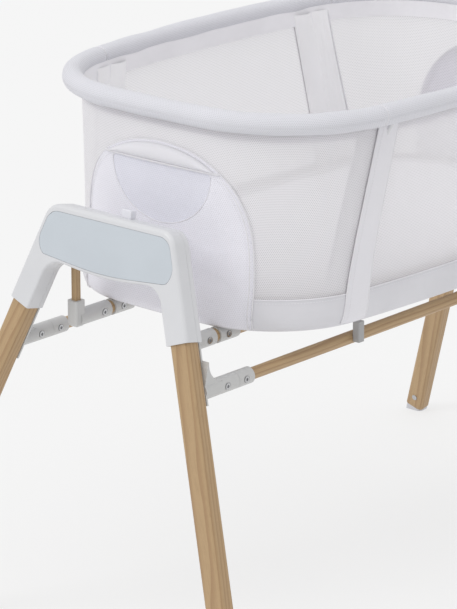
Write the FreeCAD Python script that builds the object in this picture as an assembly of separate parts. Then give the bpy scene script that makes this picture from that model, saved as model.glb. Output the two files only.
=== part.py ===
import FreeCAD, Part
import math
import os

# Bassinet on a wooden stand. Millimetres, +Z up.
# The origin is on the floor, midway between the four feet.
# X runs along the basket and Y across it. Left is -X, right is +X, front is -Y and back is +Y.

V = FreeCAD.Vector
X_AXIS = V(1, 0, 0)
Y_AXIS = V(0, 1, 0)
Z_AXIS = V(0, 0, 1)

# Stand: four legs that lean in along X and splay out along Y
FOOT_X = 586.6            # leg centre-line at the floor
FOOT_Y = 316.5
LEAN = 11.72              # degrees that each end frame leans inwards
SPLAY = 20.02             # degrees that each leg splays, measured in its end frame
LEG_WIDTH = 31.4
LEG_DEPTH = 26.0
LEG_ROUND = 7.0
LEG_BOTTOM = 10.0         # heights up the lean of the leg's square-cut ends
LEG_TOP = 585.0
PEG_R = 4.0               # peg that holds the glide in the leg's end
PEG_TOP = 44.0
GLIDE_SCREW_Z = 27.0

# Saddle: moulded cap that joins the two legs of an end
SADDLE_TOP = 622.5        # heights up the lean
SADDLE_ARCH = 548.5       # the arch's edge at its two corners, and at its lowest in the middle
ARCH_MIDDLE = 537.8
CAP_BOTTOM = 481.5
CAP_HALF = 18.2
CAP_SPARE = 30.0
WALL = 2.2
SADDLE_FRONT = 16.0       # offsets along the outward normal of the end frame
SADDLE_BACK = -17.0
COVER_FRONT = -6.0
INLAY_DEPTH = 1.5
INLAY_GAP = 0.4
SAG_ROUND = 500.0         # radius in the middle of the arch's and the inlay's sagging edges

# Lock tab in the top of each saddle
LOCK_Y = -12.0
LOCK_WIDTH = 17.0
LOCK_FRONT = -2.0
LOCK_BACK = -12.0
LOCK_RISE = 11.0
LOCK_FLANGE_TOP = SADDLE_TOP - 13.0
LOCK_FLANGE_THICK = 3.0

# Pivot and hanger plate
PIVOT_Z = 575.0
PIN_R = 6.0
PIN_CLEARANCE = 0.05
BUSH_R = 9.0
PLATE_FRONT = -21.0
PLATE_BACK = -33.0

# Screws and bolts
SCREW_FIT = 0.05
SCREW_R = 2.0
SCREW_HEAD_R = 4.5
BOLT_HEAD_R = 4.4
BOLT_SPOT_R = 5.4         # flat spot that the bolt's head sits on
BOLT_SPOT_DEPTH = 1.2
BOLT_SOCKET_R = 2.1

# Cradle under the basket
POST_X = 442.0
POST_HALF = 4.7
RAIL_Y = 94.2
CRADLE_RAIL_Z = 446.5
CRADLE_RAIL_R = 9.0
CONNECTOR_R = 11.5
CONNECTOR_END = 383.0
SOCKET_BOTTOM = 436.0
SOCKET_TOP = 472.0
SEAT_START = 375.5
SEAT_END = 337.0
POST_BOTTOM = 440.0
POST_TOP = 552.0
CRADLE_BOLTS = (398.0, 360.0)

# Outer rails between the legs
OUTER_Y = 166.8
OUTER_Z = 411.5
ARM_R = 11.4
ARM_END = 422.0
COLLAR_END = 392.0
RAIL_END = 455.0
SPIGOT_R = 6.3
RAIL_END_R = 8.2
RAIL_MID_R = 8.7
OUTER_BOLTS = (445.5, 408.0)
STOP_X = 181.0            # swing stops on the outer side of the rails
STOP_SIZE = 12.0
STOP_Y = 186.0
STOP_BOTTOM = 408.5
STOP_TOP = 437.0

# Basket
BASE_Z = 458.5
BOARD_THICK = 9.5
SKIRT_TOP = 502.0
WALL_TOP = 730.0
MESH_THICK = 2.0
SKIRT_THICK = 3.0
BAND_DEPTH = 9.2
RIM_Z = 742.1
RIM_TUBE_R = 8.0
SLEEVE_R = 14.9
FIT_GAP = 0.3
WALL_SWELL = ((458.5, 0.0), (474.0, 5.0), (545.0, -0.5), (730.0, 0.0))  # height and swell of the wall

# Ovals: half length, half width, radius of the long side, radius of the end, corner radius
BASE_OVAL = (378.9, 231.6, 2443.0, 1858.0, 149.0)
TOP_OVAL = (374.8, 252.7, 1940.0, 1530.0, 165.0)
RIM_OVAL = (385.6, 263.5, 1930.0, 1524.0, 175.0)

# Outlines on the basket's end wall
ARCH_HALF = 147.0
ARCH_TOP = 694.0
GRIP_Z = 665.0
GRIP_HALF = 97.0
POCKET_HALF = 87.0
POCKET_DROP = 81.0
POCKET_DEPTH = 8.2

# Mattress
MATTRESS_OVAL = (360.0, 212.0, 2424.0, 1839.0, 130.0)
MATTRESS_Z = 471.5
MATTRESS_THICK = 32.0
MATTRESS_ROUND = 8.0


def save(name, shape):
    shape.exportStep("parts/" + name + ".step")
    print(name, len(shape.Solids), round(shape.Volume), shape.isValid())


def fused(shapes):
    result = shapes[0]
    for shape in shapes[1:]:
        result = result.fuse(shape)
    return result.removeSplitter()


def rod(start, end, radius):
    axis = end - start
    return Part.makeCylinder(radius, axis.Length, start, axis)


def box(low, high):
    size = V(*high) - V(*low)
    return Part.makeBox(size.x, size.y, size.z, V(*low))


def rounded_outline(corners):
    """Closed outline from (u, v, radius) corners, each rounded by an arc."""
    count = len(corners)
    stations = []
    for i in range(count):
        point = V(corners[i][0], corners[i][1], 0)
        if corners[i][2] == 0:
            stations.append((point, None, point))
            continue
        before = V(corners[i - 1][0], corners[i - 1][1], 0) - point
        after = V(corners[(i + 1) % count][0], corners[(i + 1) % count][1], 0) - point
        before.normalize()
        after.normalize()
        radius = corners[i][2]
        half = before.getAngle(after) / 2
        reach = radius / math.tan(half)
        middle = before + after
        middle.normalize()
        centre = point + middle * (radius / math.sin(half))
        stations.append((point + before * reach, centre - middle * radius, point + after * reach))
    edges = []
    for i in range(count):
        start, middle, end = stations[i]
        if middle is not None:
            edges.append(Part.Arc(start, middle, end).toShape())
        edges.append(Part.LineSegment(end, stations[(i + 1) % count][0]).toShape())
    return Part.Wire(edges)


def end_prism(wire, front, back):
    """Prism of a (y, v) outline in an upright end frame, whose outward side is -X."""
    solid = Part.Face(wire).extrude(V(0, 0, front - back))
    # (u, v, n) becomes (y, z, -x)
    turn = FreeCAD.Matrix(0, 0, -1, -back, 1, 0, 0, 0, 0, 1, 0, 0, 0, 0, 0, 1)
    return solid.transformGeometry(turn)


def lean(shape):
    """Put an upright end frame's shape in place at the left end."""
    placed = shape.copy()
    placed.rotate(V(0, 0, 0), Y_AXIS, LEAN)
    placed.translate(V(-FOOT_X, 0, 0))
    return placed


def turned(shape):
    """The same part at the other end: half a turn about the vertical."""
    other = shape.copy()
    other.rotate(V(0, 0, 0), Z_AXIS, 180)
    return other


def mirrored(shape, normal):
    return shape.mirror(V(0, 0, 0), normal)


def four_corners(shape):
    """Left-front shape and its mirror images, by corner name."""
    left_back = mirrored(shape, Y_AXIS)
    return {
        "left_front": shape,
        "left_back": left_back,
        "right_front": mirrored(shape, X_AXIS),
        "right_back": mirrored(left_back, X_AXIS),
    }


def leg_y(v, offset=0.0):
    """Distance from the middle of the end frame to a leg's line at height v up the lean."""
    angle = math.radians(SPLAY)
    return FOOT_Y - v * math.tan(angle) + offset / math.cos(angle)


def leg_bar(width, depth, bottom, top):
    """Rounded bar on the left-front leg's centre-line, with heights up the lean."""
    scale = 1 / math.cos(math.radians(SPLAY))
    low = bottom * scale
    length = (top - bottom) * scale
    bar = Part.makeBox(depth, width, length, V(-depth / 2, -width / 2, low))
    uprights = [e for e in bar.Edges if abs(e.tangentAt(e.FirstParameter).z) > 0.9]
    bar = bar.makeFillet(LEG_ROUND, uprights)
    bar.rotate(V(0, 0, 0), X_AXIS, -SPLAY)
    bar.translate(V(0, -FOOT_Y, 0))
    return lean(bar)


def leg_point(height):
    """Point on the left-front leg's centre-line at a height above the floor."""
    x = -FOOT_X + height * math.tan(math.radians(LEAN))
    v = height / math.cos(math.radians(LEAN))
    return V(x, -leg_y(v), height)


def with_mirror(side, middle=None):
    """Closed (y, v) outline from one side's corners, with a corner between the two sides if given."""
    joint = [middle] if middle else []
    return rounded_outline(side + joint + [(-u, v, r) for u, v, r in reversed(side)])


def saddle_outline(inset):
    """Saddle outline in (y, v), inset from the outer surface, with its caps drawn too long."""
    half = CAP_HALF - inset
    angle = math.radians(SPLAY)
    along = V(math.sin(angle), -math.cos(angle), 0)
    across = V(math.cos(angle), math.sin(angle), 0)
    foot = V(leg_y(CAP_BOTTOM), CAP_BOTTOM, 0) + along * CAP_SPARE
    outer = foot + across * half
    inner = foot - across * half
    top = SADDLE_TOP - inset
    arch = SADDLE_ARCH + inset
    side = [
        (leg_y(top, half), top, 27.0 - inset),
        (outer.x, outer.y, 0),
        (inner.x, inner.y, 0),
        (leg_y(arch, -half), arch, 30.0 + inset),
    ]
    return with_mirror(side, (0, ARCH_MIDDLE + inset, SAG_ROUND))


def cap_trim():
    """What lies below the two cap mouths, which are square to the legs."""
    block = Part.makeBox(80, 80, 60, V(-40, -40, -60))
    block.rotate(V(0, 0, 0), X_AXIS, -SPLAY)
    block.translate(V(0, -leg_y(CAP_BOTTOM), CAP_BOTTOM))
    return block.fuse(mirrored(block, Y_AXIS))


def inlay_outline(gap):
    side = [(105.0 - gap, 613.0 - gap, 21.0), (121.0 - gap, 569.0, 24.0), (110.0 - gap, 553.0 + gap, 11.0)]
    return with_mirror(side, (0, 543.0 + gap, SAG_ROUND))


def pivot_cylinder(radius, start, end):
    return Part.makeCylinder(radius, end - start, V(start, 0, PIVOT_Z), X_AXIS)


def lock_box(width, front, back, bottom, top):
    solid = Part.makeBox(front - back, width, top - bottom, V(-front, LOCK_Y - width / 2, bottom))
    return lean(solid)


def loop_edges(solid, x):
    """Edges of an upright saddle that lie at x, apart from the ends of its caps."""
    flat = [e for e in solid.Edges if abs(e.BoundBox.XMin - x) < 0.01 and abs(e.BoundBox.XMax - x) < 0.01]
    return [e for e in flat if e.BoundBox.ZMax > CAP_BOTTOM]


def lock_slot():
    return lock_box(LOCK_WIDTH + 1.0, LOCK_FRONT + 0.5, LOCK_BACK - 0.5, SADDLE_TOP - 8, SADDLE_TOP + 5)


def soften_front(body):
    """Round the front edge of a saddle: full round its outside, finer along the arch."""
    edges = loop_edges(body, -SADDLE_FRONT)
    outside = [e for e in edges if not is_arch_edge(e)]
    body = body.makeFillet(6.0, outside)
    return body.makeFillet(3.0, [e for e in loop_edges(body, -SADDLE_FRONT) if is_arch_edge(e)])


def is_arch_edge(edge):
    middle = edge.valueAt((edge.FirstParameter + edge.LastParameter) / 2)
    return abs(middle.y) < leg_y(middle.z) and middle.z < SADDLE_TOP - 30


def saddle_shell():
    body = end_prism(saddle_outline(0.0), SADDLE_FRONT, COVER_FRONT + FIT_GAP)
    body = soften_front(body)
    cavity = end_prism(saddle_outline(WALL), LEG_DEPTH / 2 + FIT_GAP, COVER_FRONT)
    pocket = end_prism(inlay_outline(0.0), SADDLE_FRONT + 1, SADDLE_FRONT - INLAY_DEPTH)
    shell = lean(body.cut(cavity).cut(pocket).cut(cap_trim()))
    return shell.cut(lock_slot())


def saddle_inlay():
    panel = end_prism(inlay_outline(INLAY_GAP), SADDLE_FRONT - 0.1, SADDLE_FRONT - INLAY_DEPTH + 0.1)
    return lean(panel)


def screw_spots():
    """(y, v) places of the cover's screws: one at each leg and one at each top corner."""
    spots = []
    for side in (-1, 1):
        spots.append((side * leg_y(512.0), 512.0))
        spots.append((side * leg_y(566.0), 566.0))
    return spots


def saddle_cover():
    cup = end_prism(saddle_outline(0.0), COVER_FRONT, SADDLE_BACK)
    cup = cup.makeFillet(4.5, loop_edges(cup, -SADDLE_BACK))
    cavity = end_prism(saddle_outline(WALL), COVER_FRONT + 1, -LEG_DEPTH / 2 - FIT_GAP)
    cup = lean(cup.cut(cavity).cut(cap_trim()))
    cup = cup.cut(pivot_cylinder(PIN_R, -500.0, -400.0))
    return cup.cut(cover_screws(SCREW_FIT)).cut(lock_slot())


def cover_screws(grow=0.0):
    screws = []
    for y, v in screw_spots():
        head = Part.makeCylinder(SCREW_HEAD_R + grow, 2.0, V(-SADDLE_BACK - 2.0, y, v), X_AXIS)
        shank = Part.makeCylinder(SCREW_R + grow, 14.0, V(-SADDLE_BACK - 15.0, y, v), X_AXIS)
        screws.append(lean(head.fuse(shank).removeSplitter()))
    return Part.makeCompound(screws)


def pivot_pin():
    flange = pivot_cylinder(9.0, -464.0, -461.0)
    shaft = pivot_cylinder(PIN_R, -462.0, -428.0)
    head = pivot_cylinder(10.0, -429.5, -425.5)
    return fused([flange, shaft, head])


def lock_tab():
    tab = lock_box(LOCK_WIDTH, LOCK_FRONT, LOCK_BACK, LOCK_FLANGE_TOP, SADDLE_TOP + LOCK_RISE)
    top_edges = [e for e in tab.Edges if e.BoundBox.ZMin > tab.BoundBox.ZMax - 3.0]
    tab = tab.makeFillet(1.5, top_edges)
    flange_bottom = LOCK_FLANGE_TOP - LOCK_FLANGE_THICK
    flange = lock_box(LOCK_WIDTH + 8, LOCK_FRONT + 3, LOCK_BACK + 1, flange_bottom, LOCK_FLANGE_TOP)
    return fused([tab, flange])


def leg_peg(grow=0.0):
    """Round peg along the left-front leg's axis, from just inside the glide."""
    angle = math.radians(SPLAY)
    low = LEG_BOTTOM - 1.0
    length = (PEG_TOP - low) / math.cos(angle) + grow
    peg = Part.makeCylinder(PEG_R + grow, length, V(0, -leg_y(low), low), V(0, math.sin(angle), math.cos(angle)))
    return lean(peg)


def leg():
    bar = leg_bar(LEG_WIDTH, LEG_DEPTH, LEG_BOTTOM, LEG_TOP)
    bar = bar.cut(leg_peg(SCREW_FIT)).cut(cover_screws(SCREW_FIT))
    return bar.cut(glide_screw(SCREW_FIT))


def glide_screw(grow=0.0):
    """Screw from the leg's inner face, through the glide's peg."""
    spot = leg_point(GLIDE_SCREW_Z)
    inward = V(math.cos(math.radians(LEAN)), 0, -math.sin(math.radians(LEAN)))
    surface = spot + inward * (LEG_DEPTH / 2 - 1.2)
    head = Part.makeCylinder(SCREW_HEAD_R + grow, 2.0, surface, inward)
    shank = Part.makeCylinder(SCREW_R + grow, 18.0, surface - inward * 17.5, inward)
    return fused([head, shank])


def leg_glide():
    """Wedge between the leg's square-cut end and the floor, with its peg."""
    wedge = leg_bar(LEG_WIDTH - 1.6, LEG_DEPTH - 1.6, -20.0, LEG_BOTTOM - SCREW_FIT)
    wedge = wedge.common(box((-800, -500, 0), (0, 0, 60)))
    return fused([wedge, leg_peg()]).cut(glide_screw(SCREW_FIT))


def leg_bracket():
    """Plate on the leg's inner face, with a gusset and a round arm along X."""
    plate = leg_bar(27.0, LEG_DEPTH + 15, 404.0, CAP_BOTTOM - 0.8)
    keep = Part.makeBox(5.0, 400, 900, V(LEG_DEPTH / 2 + 0.1, -FOOT_Y, 0))
    plate = plate.common(lean(keep))
    root = leg_point(OUTER_Z).x + LEG_DEPTH / 2 / math.cos(math.radians(LEAN)) + 1.0
    arm = rod(V(root, -OUTER_Y, OUTER_Z), V(-ARM_END, -OUTER_Y, OUTER_Z), ARM_R)
    corner = V(root - 6, -OUTER_Y, OUTER_Z + 4)
    top = V(root + 9, -OUTER_Y, OUTER_Z + 40)
    middle = V(root + 15.5, -OUTER_Y, OUTER_Z + 19.5)
    tip = V(root + 35, -OUTER_Y, OUTER_Z + 9.5)
    web = Part.Wire([
        Part.LineSegment(corner, top).toShape(),
        Part.Arc(top, middle, tip).toShape(),
        Part.LineSegment(tip, corner).toShape(),
    ])
    gusset = Part.Face(web).extrude(V(0, 15, 0))
    gusset.translate(V(0, -7.5, 0))
    gusset = gusset.fuse(arm).removeSplitter()
    inside = Part.makeBox(200, 400, 900, V(LEG_DEPTH / 2 + 0.1, -FOOT_Y, 0))
    gusset = gusset.common(lean(inside))
    bracket = fused([plate, gusset])
    bore = rod(V(-RAIL_END - 1, -OUTER_Y, OUTER_Z), V(-ARM_END + 5, -OUTER_Y, OUTER_Z), SPIGOT_R + FIT_GAP)
    return bracket.cut(bore).cut(rail_bolt_holes())


def rail_bolts_at_corner():
    return Part.makeCompound([bolt(V(-x, -OUTER_Y, OUTER_Z), ARM_R) for x in OUTER_BOLTS])


def rail_bolt_holes():
    return Part.makeCompound([bolt_hole(V(-x, -OUTER_Y, OUTER_Z), ARM_R) for x in OUTER_BOLTS])


def cross_rod(centre, radius, start, end):
    """Cylinder along Y through a point, between two offsets from it."""
    return Part.makeCylinder(radius, end - start, centre + Y_AXIS * start, Y_AXIS)


def bolt(centre, radius):
    """Cross bolt through a round arm along X, with a socket head on a flat spot at each side."""
    seat = radius - BOLT_SPOT_DEPTH
    shank = cross_rod(centre, SCREW_R, -seat + 1, seat - 1)
    body = [shank]
    for side in (-1, 1):
        ends = sorted((side * (seat - 1.4), side * (radius + 0.4)))
        head = cross_rod(centre, BOLT_HEAD_R, ends[0], ends[1])
        ends = sorted((side * (seat - 0.6), side * (radius + 1)))
        body.append(head.cut(cross_rod(centre, BOLT_SOCKET_R, ends[0], ends[1])))
    return fused(body)


def bolt_hole(centre, radius):
    """Room for a cross bolt, with the flat spots under its heads."""
    seat = radius - BOLT_SPOT_DEPTH
    shank = cross_rod(centre, SCREW_R + SCREW_FIT, -seat, seat)
    heads = cross_rod(centre, BOLT_HEAD_R + SCREW_FIT, -radius - 1, radius + 1)
    heads = heads.cut(cross_rod(centre, BOLT_HEAD_R + 1, -seat + 1.45, seat - 1.45))
    spots = cross_rod(centre, BOLT_SPOT_R, -radius - 1, radius + 1)
    spots = spots.cut(cross_rod(centre, BOLT_SPOT_R + 1, -seat, seat))
    return fused([shank, heads, spots])


def rail_collar():
    collar = rod(V(-ARM_END + FIT_GAP, -OUTER_Y, OUTER_Z), V(-COLLAR_END, -OUTER_Y, OUTER_Z), ARM_R)
    bore = rod(V(-ARM_END - 5, -OUTER_Y, OUTER_Z), V(-COLLAR_END + 5, -OUTER_Y, OUTER_Z), SPIGOT_R + FIT_GAP)
    return collar.cut(bore).cut(rail_bolt_holes())


def turned_rail(y, z, stations):
    """Round rail along X from (x, radius) stations, mirrored about the middle."""
    points = [V(x, y, z + r) for x, r in stations]
    points += [V(-x, y, z + r) for x, r in reversed(stations)]
    edges = [Part.LineSegment(points[i], points[i + 1]).toShape() for i in range(2)]
    middle = V(0, y, z + RAIL_MID_R)
    edges.append(Part.Arc(points[2], middle, points[3]).toShape())
    edges += [Part.LineSegment(points[i], points[i + 1]).toShape() for i in range(3, 5)]
    first = V(points[0].x, y, z)
    last = V(points[-1].x, y, z)
    edges.insert(0, Part.LineSegment(first, points[0]).toShape())
    edges.append(Part.LineSegment(points[-1], last).toShape())
    edges.append(Part.LineSegment(last, first).toShape())
    face = Part.Face(Part.Wire(edges))
    return face.revolve(V(0, y, z), X_AXIS, 360)


def outer_rail():
    shoulder = -COLLAR_END + FIT_GAP
    rail = turned_rail(-OUTER_Y, OUTER_Z, [(-RAIL_END, SPIGOT_R), (shoulder, SPIGOT_R), (shoulder, RAIL_END_R)])
    holes = [rail_bolt_holes(), stop_screw(SCREW_FIT)]
    holes += [mirrored(hole, X_AXIS) for hole in holes]
    for hole in holes:
        rail = rail.cut(hole)
    return rail


def rail_bumper():
    """Block bolted to the outer side of the rail, with a soft top that stops the swing."""
    low = (-STOP_X - STOP_SIZE / 2, -STOP_Y, STOP_BOTTOM)
    high = (-STOP_X + STOP_SIZE / 2, -STOP_Y + STOP_SIZE, STOP_TOP)
    block = box(low, high)
    uprights = [e for e in block.Edges if abs(e.tangentAt(e.FirstParameter).z) > 0.9]
    block = block.makeFillet(2.0, uprights)
    groove = rod(V(-STOP_X - 30, -OUTER_Y, OUTER_Z), V(-STOP_X + 30, -OUTER_Y, OUTER_Z), RAIL_MID_R + 0.1)
    return block.cut(groove).cut(stop_screw(SCREW_FIT))


def stop_screw(grow=0.0):
    """Screw from the inner side of the rail into its swing stop."""
    centre = V(-STOP_X, -OUTER_Y, OUTER_Z)
    head = cross_rod(centre, SCREW_HEAD_R - 0.5 + grow, RAIL_END_R - 1.5, RAIL_MID_R + 0.8)
    return fused([head, cross_rod(centre, SCREW_R + grow, -STOP_Y + OUTER_Y + 3, RAIL_END_R - 1)])


def hanger_plate():
    side = [(101.0, 612.0, 24.0), (110.0, 573.0, 20.0), (105.0, 540.0, 14.0)]
    plate = end_prism(with_mirror(side), PLATE_FRONT, PLATE_BACK)
    plate = lean(plate.makeFillet(2.0, [e for e in plate.Edges if e.BoundBox.XMin > -PLATE_BACK - 0.01]))
    keep = Part.makeBox(60, 400, 900, V(-PLATE_FRONT, -200, 0))
    sockets = []
    for y in (-RAIL_Y, RAIL_Y):
        sockets.append(box((-POST_X - 8, y - 8.5, 521), (-POST_X + 8, y + 8.5, 556)).common(lean(keep)))
    plate = fused([plate] + sockets)
    for y in (-RAIL_Y, RAIL_Y):
        plate = plate.cut(post_bar(y, FIT_GAP))
    return plate.cut(pivot_cylinder(BUSH_R, -470, -420))


def post_bar(y, grow=0.0):
    half = POST_HALF + grow
    low = POST_BOTTOM - grow
    return box((-POST_X - half, y - half, low), (-POST_X + half, y + half, POST_TOP + grow))


def hanger_post():
    post = post_bar(-RAIL_Y)
    uprights = [e for e in post.Edges if abs(e.tangentAt(e.FirstParameter).z) > 0.9]
    return post.makeFillet(1.5, uprights)


def pivot_bush():
    bush = pivot_cylinder(BUSH_R - 0.05, -444.6, -432.4)
    return bush.cut(pivot_cylinder(PIN_R + PIN_CLEARANCE, -470, -420))


def cradle_rod(start, end, radius):
    return rod(V(-start, -RAIL_Y, CRADLE_RAIL_Z), V(-end, -RAIL_Y, CRADLE_RAIL_Z), radius)


def cradle_connector():
    """Upright socket for a hanger post, with a round arm towards the rail."""
    socket = box((-POST_X - 9, -RAIL_Y - 9.4, SOCKET_BOTTOM), (-POST_X + 9, -RAIL_Y + 9.4, SOCKET_TOP))
    uprights = [e for e in socket.Edges if abs(e.tangentAt(e.FirstParameter).z) > 0.9]
    socket = socket.makeFillet(4.0, uprights)
    foot = [e for e in socket.Edges if e.BoundBox.ZMax < SOCKET_BOTTOM + 0.01]
    socket = socket.makeChamfer(3.0, foot)
    body = fused([socket, cradle_rod(POST_X, CONNECTOR_END, CONNECTOR_R)])
    body = body.cut(post_bar(-RAIL_Y, 0.1))
    body = body.cut(cradle_rod(431.0, CONNECTOR_END - 5, CRADLE_RAIL_R + 0.1))
    return body.cut(cradle_bolt_holes())


def cradle_bolts_at_corner():
    return Part.makeCompound([bolt(V(-x, -RAIL_Y, CRADLE_RAIL_Z), CONNECTOR_R) for x in CRADLE_BOLTS])


def cradle_bolt_holes():
    return Part.makeCompound([bolt_hole(V(-x, -RAIL_Y, CRADLE_RAIL_Z), CONNECTOR_R) for x in CRADLE_BOLTS])


def cradle_rail():
    rail = cradle_rod(430.0, -430.0, CRADLE_RAIL_R)
    return rail.cut(cradle_bolt_holes()).cut(mirrored(cradle_bolt_holes(), X_AXIS))


def seat_collar():
    collar = cradle_rod(SEAT_START, SEAT_END, CONNECTOR_R)
    bore = cradle_rod(SEAT_START + 5, SEAT_END - 5, CRADLE_RAIL_R + 0.1)
    return collar.cut(bore).cut(cradle_bolt_holes())


def oval_arcs(oval, offset):
    """The eight arcs of an oval, as (centre x, centre y, radius, start angle, end angle)."""
    a, b, side_r, end_r, corner_r = oval
    side_c = (0.0, b - side_r)
    end_c = (a - end_r, 0.0)
    d1 = side_r - corner_r
    d2 = end_r - corner_r
    dx = end_c[0] - side_c[0]
    dy = end_c[1] - side_c[1]
    span = math.hypot(dx, dy)
    along = (d1 * d1 - d2 * d2 + span * span) / (2 * span)
    off = math.sqrt(d1 * d1 - along * along)
    ux = dx / span
    uy = dy / span
    cx = side_c[0] + ux * along + uy * off
    cy = side_c[1] + uy * along - ux * off
    side_t = math.atan2(cy - side_c[1], cx - side_c[0])
    end_t = math.atan2(cy - end_c[1], cx - end_c[0])
    pi = math.pi
    corner_r += offset
    side_r += offset
    end_r += offset
    return [
        (0.0, side_c[1], side_r, side_t, pi - side_t),
        (-cx, cy, corner_r, pi - side_t, pi - end_t),
        (-end_c[0], 0.0, end_r, pi - end_t, pi + end_t),
        (-cx, -cy, corner_r, pi + end_t, pi + side_t),
        (0.0, -side_c[1], side_r, pi + side_t, 2 * pi - side_t),
        (cx, -cy, corner_r, 2 * pi - side_t, 2 * pi - end_t),
        (end_c[0], 0.0, end_r, 2 * pi - end_t, 2 * pi + end_t),
        (cx, cy, corner_r, end_t, side_t),
    ]


def arc_point(arc, t, z):
    return V(arc[0] + arc[2] * math.cos(t), arc[1] + arc[2] * math.sin(t), z)


def oval_wire(oval, z, offset=0.0):
    edges = []
    for arc in oval_arcs(oval, offset):
        start = arc_point(arc, arc[3], z)
        middle = arc_point(arc, (arc[3] + arc[4]) / 2, z)
        end = arc_point(arc, arc[4], z)
        edges.append(Part.Arc(start, middle, end).toShape())
    return Part.Wire(edges)


def oval_at(z):
    """The basket wall's outline at a height, between its base and its top."""
    t = (z - BASE_Z) / (WALL_TOP - BASE_Z)
    return tuple(low + (high - low) * t for low, high in zip(BASE_OVAL, TOP_OVAL))


def wall_swell(z):
    """How far the wall stands out from the straight line between its base and its top."""
    for (z0, swell0), (z1, swell1) in zip(WALL_SWELL, WALL_SWELL[1:]):
        if z <= z1:
            return swell0 + (swell1 - swell0) * (z - z0) / (z1 - z0)
    return 0.0


def basket_body(offset, low=BASE_Z, high=WALL_TOP):
    """The whole space inside the basket wall's outer surface, grown by an offset."""
    wires = [oval_wire(oval_at(z), z, offset + swell) for z, swell in WALL_SWELL]
    solid = Part.makeLoft(wires, True, True)
    if low > BASE_Z or high < WALL_TOP:
        solid = solid.common(box((-500, -400, low), (500, 400, high)))
    return solid


def wall_ring(outer, inner, low, high):
    return basket_body(outer, low, high).cut(basket_body(inner, low, high))


def band_edge(z, side):
    """X distance of a corner band's edge: side 1 is towards the end, -1 towards the middle."""
    t = (z - 463.0) / 250.0
    return 246.5 - 44.5 * t + side * (20.5 - 2.5 * t)


def edge_wedge(low_x, side, gap, y_low, y_high):
    """Prism in Y of everything between x = low_x and a band's edge, on the left side."""
    bottom = BASE_Z - 20
    top = WALL_TOP + 20
    points = [
        V(low_x, y_low, bottom),
        V(-band_edge(bottom, side) + gap, y_low, bottom),
        V(-band_edge(top, side) + gap, y_low, top),
        V(low_x, y_low, top),
    ]
    face = Part.Face(Part.makePolygon(points + points[:1]))
    return face.extrude(V(0, y_high - y_low, 0))


def side_mesh():
    ring = wall_ring(0.0, -MESH_THICK, SKIRT_TOP + FIT_GAP, WALL_TOP)
    front = ring.common(box((-500, -400, 0), (500, -60, 900)))
    left = edge_wedge(-500, -1, FIT_GAP, -400, 0)
    return front.cut(left).cut(mirrored(left, X_AXIS))


def end_mesh():
    ring = wall_ring(0.0, -MESH_THICK, SKIRT_TOP + FIT_GAP, WALL_TOP)
    left = ring.common(edge_wedge(-500, 1, -FIT_GAP, -400, 400))
    return left.cut(pocket_prism(0.0))


def corner_band():
    ring = wall_ring(0.8, -BAND_DEPTH, SKIRT_TOP + FIT_GAP, WALL_TOP)
    band = ring.common(edge_wedge(-500, -1, 0.0, -400, -60)).cut(edge_wedge(-500, 1, 0.0, -400, -60))
    return band.cut(corner_stay(0.3))


def corner_stay(grow=0.0):
    """Steel rod from the base board, up inside a corner band and out to the rim tube."""
    foot_z = 468.1
    knee_z = 700.0
    foot = stay_point(foot_z + 2.5, 11.5)
    knee = stay_point(knee_z, 5.0)
    centre = rim_front_y(-knee.x)
    tip = V(knee.x + 3.0, -centre, RIM_Z - RIM_TUBE_R - 1.2)
    radius = 3.0 + grow
    plate = Part.makeCylinder(7.0 + grow, 2.5, V(foot.x, foot.y, foot_z))
    joint = Part.makeSphere(radius, knee)
    return fused([plate, rod(foot, knee, radius), joint, rod(knee, tip, radius)])


def stay_point(z, inset):
    """Point inside the wall at the middle of the left-front corner band."""
    x = (band_edge(z, 1) + band_edge(z, -1)) / 2
    return V(-x, -(wall_y(x, z) - inset), z)


def wall_y(x, z):
    """Half width of the wall's outer surface at x, near a corner."""
    for arc in oval_arcs(oval_at(z), wall_swell(z)):
        if arc[1] > 0 and arc[0] > 0 and arc[0] + arc[2] * math.cos(arc[4]) <= x:
            return arc[1] + math.sqrt(arc[2] ** 2 - (x - arc[0]) ** 2)
    arc = oval_arcs(oval_at(z), wall_swell(z))[0]
    return arc[1] + math.sqrt(arc[2] ** 2 - x * x)


def rim_front_y(x):
    side_r = RIM_OVAL[2]
    return RIM_OVAL[1] - side_r + math.sqrt(side_r ** 2 - x * x)


def torus_ring(radius):
    pieces = []
    for cx, cy, arc_r, start, end in oval_arcs(RIM_OVAL, 0.0):
        angle = math.degrees(end - start)
        piece = Part.makeTorus(arc_r, radius, V(0, 0, 0), Z_AXIS, 0, 360, angle)
        piece.rotate(V(0, 0, 0), Z_AXIS, math.degrees(start))
        piece.translate(V(cx, cy, RIM_Z))
        pieces.append(piece)
    return pieces


def rim_tube():
    return fused(torus_ring(RIM_TUBE_R))


def rim_sleeve():
    outer = torus_ring(SLEEVE_R)
    inner = torus_ring(RIM_TUBE_R + FIT_GAP)
    hollow = [big.cut(small) for big, small in zip(outer, inner)]
    ring = fused(hollow)
    for stay in four_corners(corner_stay(0.3)).values():
        ring = ring.cut(stay)
    return ring


def base_board():
    return basket_body(-SKIRT_THICK - FIT_GAP, BASE_Z, BASE_Z + BOARD_THICK)


def skirt():
    return wall_ring(0.0, -SKIRT_THICK, BASE_Z, SKIRT_TOP)


def mattress():
    face = Part.Face(oval_wire(MATTRESS_OVAL, MATTRESS_Z))
    pad = face.extrude(V(0, 0, MATTRESS_THICK))
    flat = [e for e in pad.Edges if e.BoundBox.ZLength < 0.1]
    return pad.makeFillet(MATTRESS_ROUND, flat)


def end_outline_prism(points):
    """Prism along X at the left end, from a closed (y, z) outline."""
    wire = Part.makePolygon([V(-420, y, z) for y, z in points + points[:1]])
    return Part.Face(wire).extrude(V(80, 0, 0))


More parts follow.
